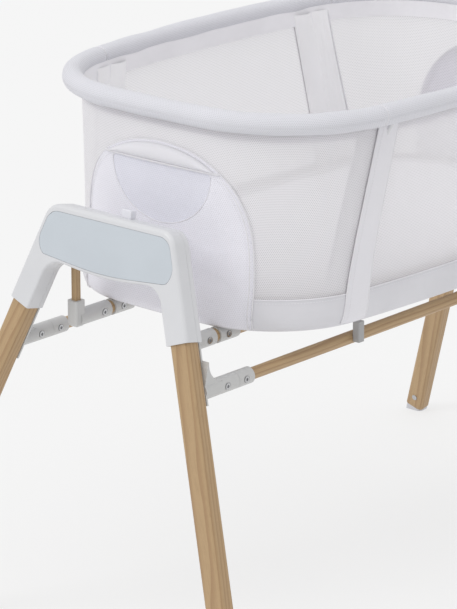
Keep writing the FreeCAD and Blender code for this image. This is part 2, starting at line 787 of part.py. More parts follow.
def pocket_prism(inset):
    """D-shaped outline under the grip: a straight top and half an ellipse."""
    steps = 20
    half = POCKET_HALF - inset
    drop = POCKET_DROP - inset
    points = []
    for i in range(steps + 1):
        t = math.pi * i / steps
        points.append((half * math.cos(t), GRIP_Z - inset - (drop - inset) * math.sin(t)))
    return end_outline_prism(points)


def arch_points(count):
    """The arch panel's curved outline, a superellipse half, from back to front."""
    points = []
    for i in range(count + 1):
        t = math.pi * i / count
        y = ARCH_HALF * math.cos(t)
        z = BASE_Z + (ARCH_TOP - BASE_Z) * abs(math.sin(t)) ** 0.42
        points.append((y, z))
    return points


def arch_panel():
    prism = end_outline_prism(arch_points(28))
    skin = wall_ring(1.3, 0.1, BASE_Z + 0.5, WALL_TOP)
    return skin.common(prism).cut(pocket_prism(0.0))


def carry_grip():
    """Padded crescent above the pocket, standing out from the arch panel."""
    points = [(y, z) for y, z in arch_points(40) if z > GRIP_Z + 1 and abs(y) < GRIP_HALF]
    points.append((-GRIP_HALF, GRIP_Z + 1))
    points.append((GRIP_HALF, GRIP_Z + 1))
    crescent = end_outline_prism(points)
    return wall_ring(9.0, 1.5, 600.0, WALL_TOP).common(crescent)


def hand_pocket():
    tray = wall_ring(-0.5, -POCKET_DEPTH - 1.3, 560.0, 690.0).common(pocket_prism(0.4))
    hollow = wall_ring(6.0, -POCKET_DEPTH, 560.0, 690.0).common(pocket_prism(1.8))
    return tray.cut(hollow)


def save_ends(name, shape):
    save(name + "_left", shape)
    save(name + "_right", turned(shape))


def save_sides(name, shape):
    save(name + "_front", shape)
    save(name + "_back", mirrored(shape, Y_AXIS))


def save_corners(name, shape):
    for corner, placed in four_corners(shape).items():
        save(name + "_" + corner, placed)


def save_group(name, shapes):
    save(name, Part.makeCompound([solid for shape in shapes for solid in shape.Solids]))


def make_stand():
    save_ends("saddle_shell", saddle_shell())
    save_ends("saddle_inlay", saddle_inlay())
    save_ends("saddle_cover", saddle_cover())
    save_group("cover_screws", [cover_screws(), turned(cover_screws())])
    save_corners("leg", leg())
    save_group("leg_glides", four_corners(leg_glide()).values())
    save_group("glide_screws", four_corners(glide_screw()).values())
    save_corners("leg_bracket", leg_bracket())
    save_corners("rail_collar", rail_collar())
    save_sides("outer_rail", outer_rail())
    screws = four_corners(Part.makeCompound([rail_bolts_at_corner(), stop_screw()]))
    save_group("rail_bolts", screws.values())
    save_group("rail_bumpers", four_corners(rail_bumper()).values())
    save_ends("pivot_pin", pivot_pin())
    save_ends("lock_tab", lock_tab())


def make_cradle():
    save_ends("hanger_plate", hanger_plate())
    save_group("pivot_bushes", [pivot_bush(), turned(pivot_bush())])
    save_corners("hanger_post", hanger_post())
    save_corners("cradle_connector", cradle_connector())
    save_sides("cradle_rail", cradle_rail())
    save_group("seat_collars", four_corners(seat_collar()).values())
    save_group("cradle_bolts", four_corners(cradle_bolts_at_corner()).values())


def make_basket():
    save("base_board", base_board())
    save("rim_tube", rim_tube())
    save("rim_sleeve", rim_sleeve())
    save_group("corner_stays", four_corners(corner_stay()).values())
    save_sides("side_mesh", side_mesh())
    save_ends("end_mesh", end_mesh())
    save_group("corner_bands", four_corners(corner_band()).values())
    save("base_skirt", skirt())
    save_ends("arch_panel", arch_panel())
    save_ends("carry_grip", carry_grip())
    save_group("hand_pockets", [hand_pocket(), turned(hand_pocket())])
    save("mattress", mattress())


os.makedirs("parts", exist_ok=True)
make_stand()
make_cradle()
make_basket()
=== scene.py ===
import math
from functools import lru_cache

import bpy
import numpy as np
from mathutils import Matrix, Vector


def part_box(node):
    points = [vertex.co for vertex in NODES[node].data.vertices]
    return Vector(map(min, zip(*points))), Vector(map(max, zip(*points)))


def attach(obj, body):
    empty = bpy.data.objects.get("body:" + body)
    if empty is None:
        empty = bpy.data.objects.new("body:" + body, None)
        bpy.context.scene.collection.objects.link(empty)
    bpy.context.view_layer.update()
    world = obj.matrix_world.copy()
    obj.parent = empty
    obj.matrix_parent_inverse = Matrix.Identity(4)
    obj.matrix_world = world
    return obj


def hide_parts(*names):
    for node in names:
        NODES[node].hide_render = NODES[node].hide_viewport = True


# Bassinet on a wooden stand. Metres, in the CAD model's frame: the floor is z = 0, X runs along the
# basket and Y across it. Left is -X and front is -Y.

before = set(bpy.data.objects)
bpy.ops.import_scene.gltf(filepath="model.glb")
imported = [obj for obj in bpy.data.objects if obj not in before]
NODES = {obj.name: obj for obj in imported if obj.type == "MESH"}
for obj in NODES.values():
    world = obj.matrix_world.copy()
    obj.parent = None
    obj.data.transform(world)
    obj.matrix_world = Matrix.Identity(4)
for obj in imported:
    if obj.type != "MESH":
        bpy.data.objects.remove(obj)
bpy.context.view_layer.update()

CORNERS = ("left_front", "left_back", "right_front", "right_back")
ENDS = ("left", "right")
SIDES = ("front", "back")

# ---------------------------------------------------------------- sizes read from the frame

RIM_LOW, RIM_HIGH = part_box("rim_sleeve")
SLEEVE_R = (RIM_HIGH[2] - RIM_LOW[2]) / 2
RIM_A = RIM_HIGH[0] - SLEEVE_R
RIM_B = RIM_HIGH[1] - SLEEVE_R
RIM_Z = (RIM_HIGH[2] + RIM_LOW[2]) / 2

SKIRT_LOW, SKIRT_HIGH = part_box("base_skirt")
BASE_Z = SKIRT_LOW[2]
SKIRT_TOP = SKIRT_HIGH[2]
WALL_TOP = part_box("side_mesh_front")[1][2]

# Ovals of eight tangent arcs: half length, half width, and the side's, end's and corner's radius
RIM_OVAL = (RIM_A, RIM_B, 1.930, 1.524, 0.175)
BASE_OVAL = (SKIRT_HIGH[0] - 0.0048, SKIRT_HIGH[1] - 0.0062, 2.443, 1.858, 0.149)
TOP_OVAL = (RIM_A - 0.0108, RIM_B - 0.0108, 1.940, 1.530, 0.165)

# How far the wall stands out from a straight line between its base and its top, by height over the base
SWELL_RISE = (0.0, 0.002, 0.005, 0.010, 0.017, 0.030, 0.045, 0.062, 0.085, 0.120, 0.200, 0.272)
SWELL_OUT = (0.0, 0.0020, 0.0035, 0.0047, 0.0052, 0.0044, 0.0026, 0.0010, -0.0002, -0.0009, -0.0006, 0.0)

ARCH_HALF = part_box("arch_panel_left")[1][1]
ARCH_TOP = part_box("arch_panel_left")[1][2]
GRIP_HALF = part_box("carry_grip_left")[1][1]
GRIP_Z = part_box("carry_grip_left")[0][2]
POCKET_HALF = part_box("hand_pockets")[1][1]
POCKET_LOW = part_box("hand_pockets")[0][2]

# Sewing
STITCH_PITCH = 0.0042
STITCH_LENGTH = 0.0027
STITCH_R = 0.00038
PIPING_R = 0.0013
CORD_SIDES = 8
STITCH_SIDES = 5
SEWN_IN = 0.001

# Wall cloth, as distances out from the wall's outer surface
WALL_OUT = -0.0009
BAND_OUT = 0.0012
BAND_CROWN = 0.0022
LINING_OUT = -0.0016
LINING_CROWN = -0.0080
FOLD_OUT = -0.0018
FOLD_CROWN = -0.0036
FACING_OUT = -0.0032
HEM_OUT = 0.0004
SKIRT_OUT = 0.0004

# Corner bands: middle and half width at BAND_FOOT_Z, and how much each shrinks over BAND_HEIGHT
BAND_FOOT_Z = 0.463
BAND_HEIGHT = 0.25
BAND_MIDDLE = 0.2465
BAND_SLANT = 0.0445
BAND_HALF = 0.0205
BAND_TAPER = 0.0025

# Seams inside the corners
SEAM_TOP_X = 0.2500
SEAM_SLANT = 0.036
SEAM_DROP = 0.2
FOLD_WIDTH = 0.034
FOLD_SPREAD = 0.012

# Arch panels and hand pockets
ARCH_POWER = 0.42
PANEL_LIFT = 0.0016
PANEL_CENTRE = np.array([0.0, 0.628])
POCKET_CORNER = 0.006


# ---------------------------------------------------------------- materials

class Paint:
    """A node material built up from a principled shader. An input named i2 is the node's third one."""

    def __init__(self, name, colour, roughness, **sockets):
        self.material = bpy.data.materials.new(name)
        self.material.use_nodes = True
        self.tree = self.material.node_tree
        self.shader = self.tree.nodes["Principled BSDF"]
        self.output = self.tree.nodes["Material Output"]
        self.set("Base Color", (*colour, 1))
        self.set("Roughness", roughness)
        for socket, value in sockets.items():
            self.set(socket.replace("_", " "), value)

    def set(self, socket, value):
        self.shader.inputs[socket].default_value = value

    def node(self, kind, settings=None, **inputs):
        made = self.tree.nodes.new("ShaderNode" + kind)
        for key, value in (settings or {}).items():
            setattr(made, key, value)
        for key, value in inputs.items():
            by_number = key[0] == "i" and key[1:].isdigit()
            socket = made.inputs[int(key[1:]) if by_number else key]
            if isinstance(value, bpy.types.NodeSocket):
                self.tree.links.new(value, socket)
            else:
                socket.default_value = value
        return made

    def link(self, source, target):
        self.tree.links.new(source, target)

    def math(self, operation, a, b=0.0, c=0.0):
        return self.node("Math", {"operation": operation}, i0=a, i1=b, i2=c).outputs[0]

    def ramp(self, factor, low, high, value_low=0.0, value_high=1.0):
        made = self.node("MapRange", {"interpolation_type": "SMOOTHSTEP"}, i0=factor, i1=low, i2=high)
        made.inputs[3].default_value = value_low
        made.inputs[4].default_value = value_high
        return made.outputs[0]

    def noise(self, vector, scale, detail=2.0, roughness=0.5):
        made = self.node("TexNoise", Vector=vector, Scale=scale, Detail=detail, Roughness=roughness)
        return made.outputs["Fac"]

    def mix(self, factor, first, second):
        made = self.node("Mix", {"data_type": "RGBA"})
        for socket, value in ((made.inputs[0], factor), (made.inputs[6], first), (made.inputs[7], second)):
            if isinstance(value, bpy.types.NodeSocket):
                self.link(value, socket)
            elif socket.type == "RGBA":
                socket.default_value = (*value, 1)
            else:
                socket.default_value = value
        return made.outputs[2]

    def colour(self, socket):
        self.link(socket, self.shader.inputs["Base Color"])

    def bump(self, height, distance, strength=1.0):
        made = self.node("Bump", Height=height, Distance=distance, Strength=strength)
        self.link(made.outputs[0], self.shader.inputs["Normal"])

    def place(self):
        return self.node("TexCoord").outputs["Object"]

    def uv(self):
        return self.node("TexCoord").outputs["UV"]


def plastic(name, colour, roughness):
    """Moulded plastic: a fine even grain and a faint cloudiness."""
    paint = Paint(name, colour, roughness, Coat_Weight=0.12, Coat_Roughness=0.3)
    place = paint.place()
    cloud = paint.noise(place, 9.0, 3.0)
    shade = tuple(c * 0.955 for c in colour)
    paint.colour(paint.mix(paint.ramp(cloud, 0.35, 0.7), colour, shade))
    grain = paint.noise(place, 2600.0, 1.0)
    paint.bump(grain, 0.00006, 0.5)
    return paint.material


def unit(vector):
    vector = np.asarray(vector, float)
    return vector / np.linalg.norm(vector)


WOOD_PALE = (0.485, 0.335, 0.18)
WOOD_PALE_PATCH = (0.455, 0.31, 0.166)
WOOD_LATE = (0.31, 0.178, 0.085)
WOOD_STREAK = (0.30, 0.185, 0.10)
WOOD_PORE = (0.25, 0.14, 0.07)


def wood(name, along, seed):
    """Lacquered ash: long grain along an axis, with darker growth rings and fine pores."""
    paint = Paint(name, WOOD_PALE, 0.5, Coat_Weight=0.08, Coat_Roughness=0.35)
    along = unit(along)
    across = unit(np.cross(along, (0.31, 0.95, 0.05)))
    through = np.cross(along, across)
    place = paint.place()

    def run(axis, stretch):
        dot = paint.node("VectorMath", {"operation": "DOT_PRODUCT"}, i0=place, i1=tuple(axis))
        return paint.math("MULTIPLY_ADD", dot.outputs["Value"], stretch, seed)

    def vector(length_scale, cross_scale):
        parts = (run(along, length_scale), run(across, cross_scale), run(through, cross_scale))
        return paint.node("CombineXYZ", X=parts[0], Y=parts[1], Z=parts[2]).outputs[0]

    drift = paint.noise(vector(2.0, 14.0), 1.0, 2.0)
    rings = paint.math("MULTIPLY_ADD", drift, 2.6, run(across, 120.0))
    rings = paint.math("MULTIPLY_ADD", paint.noise(vector(7.0, 60.0), 1.0, 2.0), 0.35, rings)
    ring = paint.math("FRACT", paint.math("MULTIPLY", rings, 1.5))
    late = paint.ramp(ring, 0.35, 1.0)
    streak = paint.noise(vector(14.0, 900.0), 1.0, 3.0, 0.6)
    pore = paint.ramp(paint.noise(vector(40.0, 1900.0), 1.0, 1.0), 0.62, 0.72)
    patch = paint.noise(vector(1.6, 9.0), 1.0, 1.0)
    pale = paint.mix(paint.ramp(patch, 0.3, 0.7), WOOD_PALE, WOOD_PALE_PATCH)
    grained = paint.mix(paint.math("MULTIPLY", late, 0.6), pale, WOOD_LATE)
    streak_share = paint.math("MULTIPLY", paint.ramp(streak, 0.45, 0.75), 0.35)
    streaked = paint.mix(streak_share, grained, WOOD_STREAK)
    paint.colour(paint.mix(paint.math("MULTIPLY", pore, 0.3), streaked, WOOD_PORE))
    height = paint.math("SUBTRACT", paint.math("MULTIPLY", late, 0.3), pore)
    paint.bump(height, 0.00015, 0.35)
    return paint.material


def steel(name, colour, roughness):
    """Polished steel with faint scuffs."""
    paint = Paint(name, colour, roughness, Metallic=1.0)
    scuff = paint.noise(paint.place(), 900.0, 2.0)
    uneven = paint.ramp(scuff, 0.3, 0.8, roughness * 0.8, roughness * 1.5)
    paint.link(uneven, paint.shader.inputs["Roughness"])
    paint.bump(scuff, 0.00004, 0.4)
    return paint.material


ROW_STEP = 0.866


def hole_pattern(paint, pitch):
    """Round holes in staggered rows, from UVs in metres: the distance from a hole's middle, in pitches."""
    parts = paint.node("SeparateXYZ", Vector=paint.uv())
    row = paint.math("DIVIDE", parts.outputs[1], pitch * ROW_STEP)
    odd = paint.math("PINGPONG", paint.math("FLOOR", row), 1.0)
    column = paint.math("MULTIPLY_ADD", odd, 0.5, paint.math("DIVIDE", parts.outputs[0], pitch))
    dx = paint.math("SUBTRACT", paint.math("FRACT", column), 0.5)
    dy = paint.math("MULTIPLY", paint.math("SUBTRACT", paint.math("FRACT", row), 0.5), ROW_STEP)
    squared = paint.math("ADD", paint.math("MULTIPLY", dx, dx), paint.math("MULTIPLY", dy, dy))
    return paint.math("SQRT", squared)


def cloth_tint(paint, colour, depth=0.05):
    """The cloth's colour with soft clouds of a darker shade."""
    cloud = paint.noise(paint.place(), 14.0, 3.0)
    shade = tuple(c * (1 - depth) for c in colour)
    return paint.mix(paint.ramp(cloud, 0.3, 0.72), colour, shade)


def weave(paint, pitch):
    """Crossed threads from UVs in metres, as a height."""
    parts = paint.node("SeparateXYZ", Vector=paint.uv())
    u = paint.math("SINE", paint.math("MULTIPLY", parts.outputs[0], 2 * math.pi / pitch))
    v = paint.math("SINE", paint.math("MULTIPLY", parts.outputs[1], 2 * math.pi / pitch))
    return paint.math("MULTIPLY", u, v)


def plain_cloth(name, colour, pitch=0.0011):
    """Close woven cloth."""
    paint = Paint(name, colour, 0.85, Sheen_Weight=0.25, Sheen_Roughness=0.5)
    paint.colour(cloth_tint(paint, colour))
    soft = paint.noise(paint.place(), 120.0, 3.0)
    height = paint.math("MULTIPLY_ADD", weave(paint, pitch), 0.35, soft)
    paint.bump(height, 0.0004, 0.35)
    return paint.material


def let_light_through(paint, share):
    """Cloth that glows a little when it is lit from behind."""
    glow = paint.node("BsdfTranslucent", Color=(0.97, 0.96, 0.98, 1))
    return paint.node("MixShader", Fac=share, i1=paint.shader.outputs[0], i2=glow.outputs[0]).outputs[0]


# How solid the mesh is on its threads, how much clearer it is in a hole, and how much light it passes on
SOLID_SHARE = 0.92
OPEN_SHARE = 0.22
MESH_GLOW = 0.42
PADDED_GLOW = 0.06
MESH_PITCH = 0.0026


def pierced_cloth(name, colour):
    """Knitted mesh that can be seen through."""
    paint = Paint(name, colour, 0.8, Sheen_Weight=0.2)
    away = hole_pattern(paint, MESH_PITCH)
    shade = tuple(c * 0.97 for c in colour)
    paint.colour(paint.mix(paint.ramp(away, 0.26, 0.45), shade, colour))
    paint.bump(away, 0.0004, 0.35)
    cloth_part = let_light_through(paint, MESH_GLOW)
    clear = paint.node("BsdfTransparent")
    share = paint.math("MULTIPLY_ADD", paint.ramp(away, 0.24, 0.34), OPEN_SHARE, SOLID_SHARE - OPEN_SHARE)
    made = paint.node("MixShader", Fac=share, i1=clear.outputs[0], i2=cloth_part)
    paint.link(made.outputs[0], paint.output.inputs["Surface"])
    return paint.material


def padded_mesh(name, colour, pitch, dark):
    """Cloth knitted in small cells over a backing: each cell is a little darker in its middle."""
    paint = Paint(name, colour, 0.85, Sheen_Weight=0.2)
    away = hole_pattern(paint, pitch)
    base = cloth_tint(paint, colour, 0.03)
    cell = tuple(c * dark for c in colour)
    paint.colour(paint.mix(paint.ramp(away, 0.18, 0.40), cell, base))
    paint.bump(paint.ramp(away, 0.15, 0.45), 0.0004, 0.4)
    paint.link(let_light_through(paint, PADDED_GLOW), paint.output.inputs["Surface"])
    return paint.material


cloth = padded_mesh("plain_cloth", (0.885, 0.875, 0.915), 0.0016, 0.95)
satin = plain_cloth("satin_cloth", (0.735, 0.73, 0.765))
facing_cloth = plain_cloth("facing_cloth", (0.93, 0.92, 0.95))
inner_cloth = plain_cloth("inner_cloth", (0.99, 0.985, 1.0))
lining = padded_mesh("pocket_cloth", (0.85, 0.85, 0.935), 0.0030, 0.88)
panel_cloth = padded_mesh("panel_cloth", (0.92, 0.91, 0.975), 0.0030, 0.87)
mesh_cloth = pierced_cloth("mesh_cloth", (0.86, 0.85, 0.87))
rim_cloth = padded_mesh("rim_cloth", (0.79, 0.79, 0.84), 0.0027, 0.80)
thread = plain_cloth("thread", (0.84, 0.83, 0.86), 0.0004)
mattress_cloth = plain_cloth("mattress_cloth", (0.80, 0.79, 0.82), 0.0016)
white_plastic = plastic("white_plastic", (0.68, 0.685, 0.705), 0.36)
arm_plastic = plastic("arm_plastic", (0.565, 0.565, 0.56), 0.42)
inlay_plastic = plastic("inlay_plastic", (0.555, 0.60, 0.645), 0.5)
tab_plastic = plastic("tab_plastic", (0.77, 0.77, 0.82), 0.45)
grey_plastic = plastic("grey_plastic", (0.60, 0.60, 0.63), 0.45)
stop_plastic = plastic("stop_plastic", (0.42, 0.42, 0.42), 0.5)
bright_steel = steel("bright_steel", (0.52, 0.52, 0.53), 0.16)
coated_steel = plastic("coated_steel", (0.7, 0.7, 0.72), 0.4)


# ---------------------------------------------------------------- outlines of the basket

ARC_STEPS = 160


def oval(sizes, offset=0.0):
    """Points round an oval of eight arcs from +X, and the length walked to each."""
    a, b, side_r, end_r, corner_r = sizes
    side_y = b - side_r
    end_x = a - end_r
    d1 = side_r - corner_r
    d2 = end_r - corner_r
    span = math.hypot(end_x, side_y)
    along = (d1 * d1 - d2 * d2 + span * span) / (2 * span)
    off = math.sqrt(d1 * d1 - along * along)
    ux = end_x / span
    uy = -side_y / span
    cx = ux * along + uy * off
    cy = side_y + uy * along - ux * off
    side_t = math.atan2(cy - side_y, cx)
    end_t = math.atan2(cy, cx - end_x)
    pi = math.pi
    arcs = [
        (end_x, 0, end_r, 0, end_t),
        (cx, cy, corner_r, end_t, side_t),
        (0, side_y, side_r, side_t, pi - side_t),
        (-cx, cy, corner_r, pi - side_t, pi - end_t),
        (-end_x, 0, end_r, pi - end_t, pi + end_t),
        (-cx, -cy, corner_r, pi + end_t, pi + side_t),
        (0, -side_y, side_r, pi + side_t, 2 * pi - side_t),
        (cx, -cy, corner_r, 2 * pi - side_t, 2 * pi - end_t),
        (end_x, 0, end_r, 2 * pi - end_t, 2 * pi),
    ]
    x = [np.array([a + offset])]
    y = [np.array([0.0])]
    for ox, oy, r, start, finish in arcs:
        t = np.linspace(start, finish, ARC_STEPS)[1:]
        x.append(ox + (r + offset) * np.cos(t))
        y.append(oy + (r + offset) * np.sin(t))
    x = np.concatenate(x)
    y = np.concatenate(y)
    walked = np.concatenate([[0], np.cumsum(np.hypot(np.diff(x), np.diff(y)))])
    return x, y, walked


@lru_cache(maxsize=None)
def wall_outline(z):
    """Points round the wall's outer surface at a height, and the length walked to each from +X."""
    share = (z - BASE_Z) / (WALL_TOP - BASE_Z)
    sizes = [low + (high - low) * share for low, high in zip(BASE_OVAL, TOP_OVAL)]
    return oval(sizes, float(np.interp(z - BASE_Z, SWELL_RISE, SWELL_OUT)))


TANGENT_STEP = 0.002


def along_outline(outline, walk, offset=0.0):
    """Points at walked lengths round an outline, moved outwards by an offset."""
    x, y, walked = outline
    total = walked[-1]
    walk = np.mod(walk, total)
    px = np.interp(walk, walked, x)
    py = np.interp(walk, walked, y)
    ahead = np.mod(walk + TANGENT_STEP, total)
    behind = np.mod(walk - TANGENT_STEP, total)
    tx = np.interp(ahead, walked, x) - np.interp(behind, walked, x)
    ty = np.interp(ahead, walked, y) - np.interp(behind, walked, y)
    length = np.hypot(tx, ty)
    return px + ty / length * offset, py - tx / length * offset


def wall_girth(z):
    return wall_outline(float(z))[2][-1]


def wall_points(z, walk, offset=0.0):
    """Points on the wall at a height, at walked lengths and moved outwards by an offset."""
    px, py = along_outline(wall_outline(float(z)), np.asarray(walk, float), offset)
    return np.stack([px, py, np.full_like(px, z)], axis=-1)


def crossing(values, walked, wanted):
    """Walked length where a run of falling or rising values passes the one wanted."""
    if values[0] > values[-1]:
        return float(np.interp(-wanted, -values, walked))
    return float(np.interp(wanted, values, walked))


def outline_walk_x(outline, x, side):
    """Length walked round an outline to where it passes x on the back (1) or front (-1)."""
    ox, _, walked = outline
    middle = int(np.argmin(ox))
    run = slice(0, middle + 1) if side > 0 else slice(middle, None)
    return crossing(ox[run], walked[run], x)


def walk_to_x(z, x, side):
    """The same, round the wall at a height."""
    return outline_walk_x(wall_outline(float(z)), x, side)


def walk_to_y(z, y, end):
    """Length walked to where the wall passes y on the right (1) or left (-1) end."""
    _, oy, walked = wall_outline(float(z))
    top = int(np.argmax(oy))
    low = int(np.argmin(oy))
    if end < 0:
        return crossing(oy[top: low + 1], walked[top: low + 1], y)
    share = crossing(oy[: top + 1], walked[: top + 1], abs(y))
    return share if y >= 0 else float(walked[-1]) - share


def end_point(y, z, end, offset=0.0):
    """Point on an end wall by its y and z. end is 1 for right and -1 for left."""
    return wall_points(z, [walk_to_y(z, y, end)], offset)[0]


def band_edge(z, side):
    """X distance of a corner band's edge: side 1 is towards the end and -1 towards the middle."""
    t = (z - BAND_FOOT_Z) / BAND_HEIGHT
    return BAND_MIDDLE - BAND_SLANT * t + side * (BAND_HALF - BAND_TAPER * t)


# ---------------------------------------------------------------- mesh building

def make_object(name, points, faces, material, uvs=None, smooth=True):
    """Object from points and faces, with one UV for each point."""
    mesh = bpy.data.meshes.new(name)
    mesh.from_pydata([tuple(map(float, p)) for p in points], [], [tuple(map(int, f)) for f in faces])
    if uvs is not None:
        layer = mesh.uv_layers.new(name="UVMap")
        index = np.empty(len(mesh.loops), dtype=np.int32)
        mesh.loops.foreach_get("vertex_index", index)
        layer.data.foreach_set("uv", np.asarray(uvs, np.float32)[index].ravel())
    mesh.materials.append(material)
    mesh.validate()
    if smooth:
        mesh.shade_smooth()
    made = bpy.data.objects.new(name, mesh)
    bpy.context.scene.collection.objects.link(made)
    return made


def grid_faces(rows, columns, wrap_rows=False, wrap_columns=False, flip=False):
    """Four-sided faces over a grid of points numbered row by row."""
    faces = []
    for i in range(rows if wrap_rows else rows - 1):
        for j in range(columns if wrap_columns else columns - 1):
            i1 = (i + 1) % rows
            j1 = (j + 1) % columns
            face = (i * columns + j, i * columns + j1, i1 * columns + j1, i1 * columns + j)
            faces.append(face[::-1] if flip else face)
    return faces


def surface(name, rows, uv_rows, material, flip=False):
    """Sheet through a grid of points, given as rows of points and rows of UVs."""
    points = np.concatenate(rows)
    uvs = np.concatenate(uv_rows)
    faces = grid_faces(len(rows), len(rows[0]), flip=flip)
    return make_object(name, points, faces, material, uvs)


def walked_along(path):
    return np.concatenate([[0], np.cumsum(np.linalg.norm(np.diff(path, axis=0), axis=1))])


def tube(name, path, radius, material, closed=False):
    """Round tube along a path, with rounded ends when it is open."""
    path = np.asarray(path, float)
    walked = walked_along(path)
    if closed:
        tangent = np.roll(path, -1, axis=0) - np.roll(path, 1, axis=0)
    else:
        tangent = np.gradient(path, axis=0)
    tangent /= np.linalg.norm(tangent, axis=1)[:, None]
    radii = np.full(len(path), float(radius))
    if not closed:
        radii[0] = radii[-1] = radius * 0.35
    up = np.array([0.03, 0.02, 1.0])
    side = np.cross(tangent, up)
    side /= np.linalg.norm(side, axis=1)[:, None]
    other = np.cross(side, tangent)
    angles = np.linspace(0, 2 * math.pi, CORD_SIDES, endpoint=False)
    ring = side[:, None] * np.cos(angles)[:, None] + other[:, None] * np.sin(angles)[:, None]
    points = path[:, None] + ring * radii[:, None, None]
    uvs = np.stack(np.broadcast_arrays(walked[:, None], angles[None] * radius), axis=-1)
    count = len(path)
    faces = grid_faces(count, CORD_SIDES, wrap_rows=closed, wrap_columns=True, flip=True)
    points = points.reshape(-1, 3)
    if not closed:
        faces.append(tuple(range(CORD_SIDES)))
        faces.append(tuple(range((count - 1) * CORD_SIDES, count * CORD_SIDES))[::-1])
    return make_object(name, points, faces, material, uvs.reshape(-1, 2))


def stitches(name, paths, material):
    """Short sewn threads, evenly spaced along each path."""
    points = []
    faces = []
    for path in paths:
        path = np.asarray(path, float)
        walked = walked_along(path)
        starts = np.arange(STITCH_PITCH / 2, walked[-1] - STITCH_LENGTH, STITCH_PITCH)
        for start in starts:
            places = [start, start + STITCH_LENGTH / 2, start + STITCH_LENGTH]
            line = np.stack([np.interp(places, walked, path[:, k]) for k in range(3)], axis=-1)
            along = unit(line[2] - line[0])
            side = unit(np.cross(along, (0.03, 0.02, 1.0) if abs(along[2]) < 0.9 else (1.0, 0.02, 0.03)))
            other = np.cross(side, along)
            first = len(points)
            for k, radius in enumerate((0.4, 1.0, 0.4)):
                for turn in range(STITCH_SIDES):
                    angle = turn * 2 * math.pi / STITCH_SIDES
                    ring = (side * math.cos(angle) + other * math.sin(angle)) * STITCH_R * radius
                    points.append(line[k] + ring)
            for k in range(2):
                for turn in range(STITCH_SIDES):
                    a = first + k * STITCH_SIDES + turn
                    b = first + k * STITCH_SIDES + (turn + 1) % STITCH_SIDES
                    faces.append((a, a + STITCH_SIDES, b + STITCH_SIDES, b))
            last = first + 3 * STITCH_SIDES - 1
            faces.append(tuple(range(first, first + STITCH_SIDES)))
            faces.append(tuple(range(last, last - STITCH_SIDES, -1)))
    return make_object(name, points, faces, material)


def on_basket(piece, slot_name, *nodes):
    """Fix a piece to the basket, in place of the CAD nodes that it stands for. The slot name is not used."""
    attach(piece, "basket")
    if nodes:
        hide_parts(*nodes)


# ---------------------------------------------------------------- rim

RIM_PINCH = 0.0013
RIM_PINCH_REACH = 0.0022
RIM_INSET = 0.0006
RIM_JOIN_OUT = 0.0005
SEAM_ANGLE = math.radians(262)
RIM_JOINTS = [outline_walk_x(oval(RIM_OVAL), x, side)
              for x, side in ((-0.226, -1), (-0.226, 1), (0.226, -1), (0.260, 1))]


def rim_pad():
    """Padded sleeve round the rim tube, pinched at its four joins and along its seam underneath."""
    outline = oval(RIM_OVAL)
    total = outline[2][-1]
    count = 1200
    sides = 40
    walk = np.arange(count) / count * total
    cx, cy = along_outline(outline, walk)
    ox, oy = along_outline(outline, walk, 1.0)
    normal = np.stack([ox - cx, oy - cy], axis=-1)
    pinch = np.zeros(count)
    for joint in RIM_JOINTS:
        away = np.abs(np.mod(walk - joint + total / 2, total) - total / 2)
        pinch += np.exp(-((away / RIM_PINCH_REACH) ** 2)) * RIM_PINCH
    rng = np.random.default_rng(11)
    ripple = np.zeros(count)
    for wave in range(5, 34):
        phase = rng.uniform(0, 2 * math.pi)
        ripple += np.sin(walk / total * 2 * math.pi * wave + phase) * 0.00007
    angles = np.linspace(0, 2 * math.pi, sides, endpoint=False)
    seam = np.exp(-((np.mod(angles - SEAM_ANGLE + math.pi, 2 * math.pi) - math.pi) / 0.12) ** 2) * 0.0010
    radius = SLEEVE_R - RIM_INSET + (ripple - pinch)[:, None] - seam[None]
    across = radius * np.cos(angles)[None]
    x = cx[:, None] + normal[:, 0:1] * across
    y = cy[:, None] + normal[:, 1:2] * across
    z = RIM_Z + radius * np.sin(angles)[None]
    points = np.stack([x, y, z], axis=-1).reshape(-1, 3)
    uvs = np.stack(np.broadcast_arrays(walk[:, None], angles[None] * SLEEVE_R), axis=-1).reshape(-1, 2)
    faces = grid_faces(count, sides, wrap_rows=True, wrap_columns=True, flip=True)
    pad = make_object("rim_pad", points, faces, rim_cloth, uvs)
    on_basket(pad, "rim_fabric", "rim_sleeve")


def rim_ring(joint):
    """Closed loop round the pinched sleeve at one walked length, for the sewn join."""
    outline = oval(RIM_OVAL)
    angles = np.linspace(0, 2 * math.pi, 60, endpoint=False)
    cx, cy = along_outline(outline, np.array([joint]))
    ox, oy = along_outline(outline, np.array([joint]), 1.0)
    radius = SLEEVE_R - RIM_INSET - RIM_PINCH + RIM_JOIN_OUT
    x = cx + (ox - cx) * np.cos(angles) * radius
    y = cy + (oy - cy) * np.cos(angles) * radius
    return np.stack([x, y, RIM_Z + np.sin(angles) * radius], axis=-1)


# ---------------------------------------------------------------- walls

def ripples(seed, size):
    """Smooth uneven field over (across, up) in 0..1, for the way cloth hangs."""
    rng = np.random.default_rng(seed)
    waves = [(rng.uniform(2, 9), rng.uniform(0.2, 1.5), rng.uniform(0, 6.28), rng.uniform(0.4, 1))
             for _ in range(9)]

    def at(u, v):
        total = 0.0
        for across, up, phase, weight in waves:
            total = total + weight * np.sin(across * 2 * math.pi * u + up * 2 * math.pi * v + phase)
        return size * total / 4.5 * np.sin(math.pi * np.clip(v, 0, 1)) ** 0.5

    return at


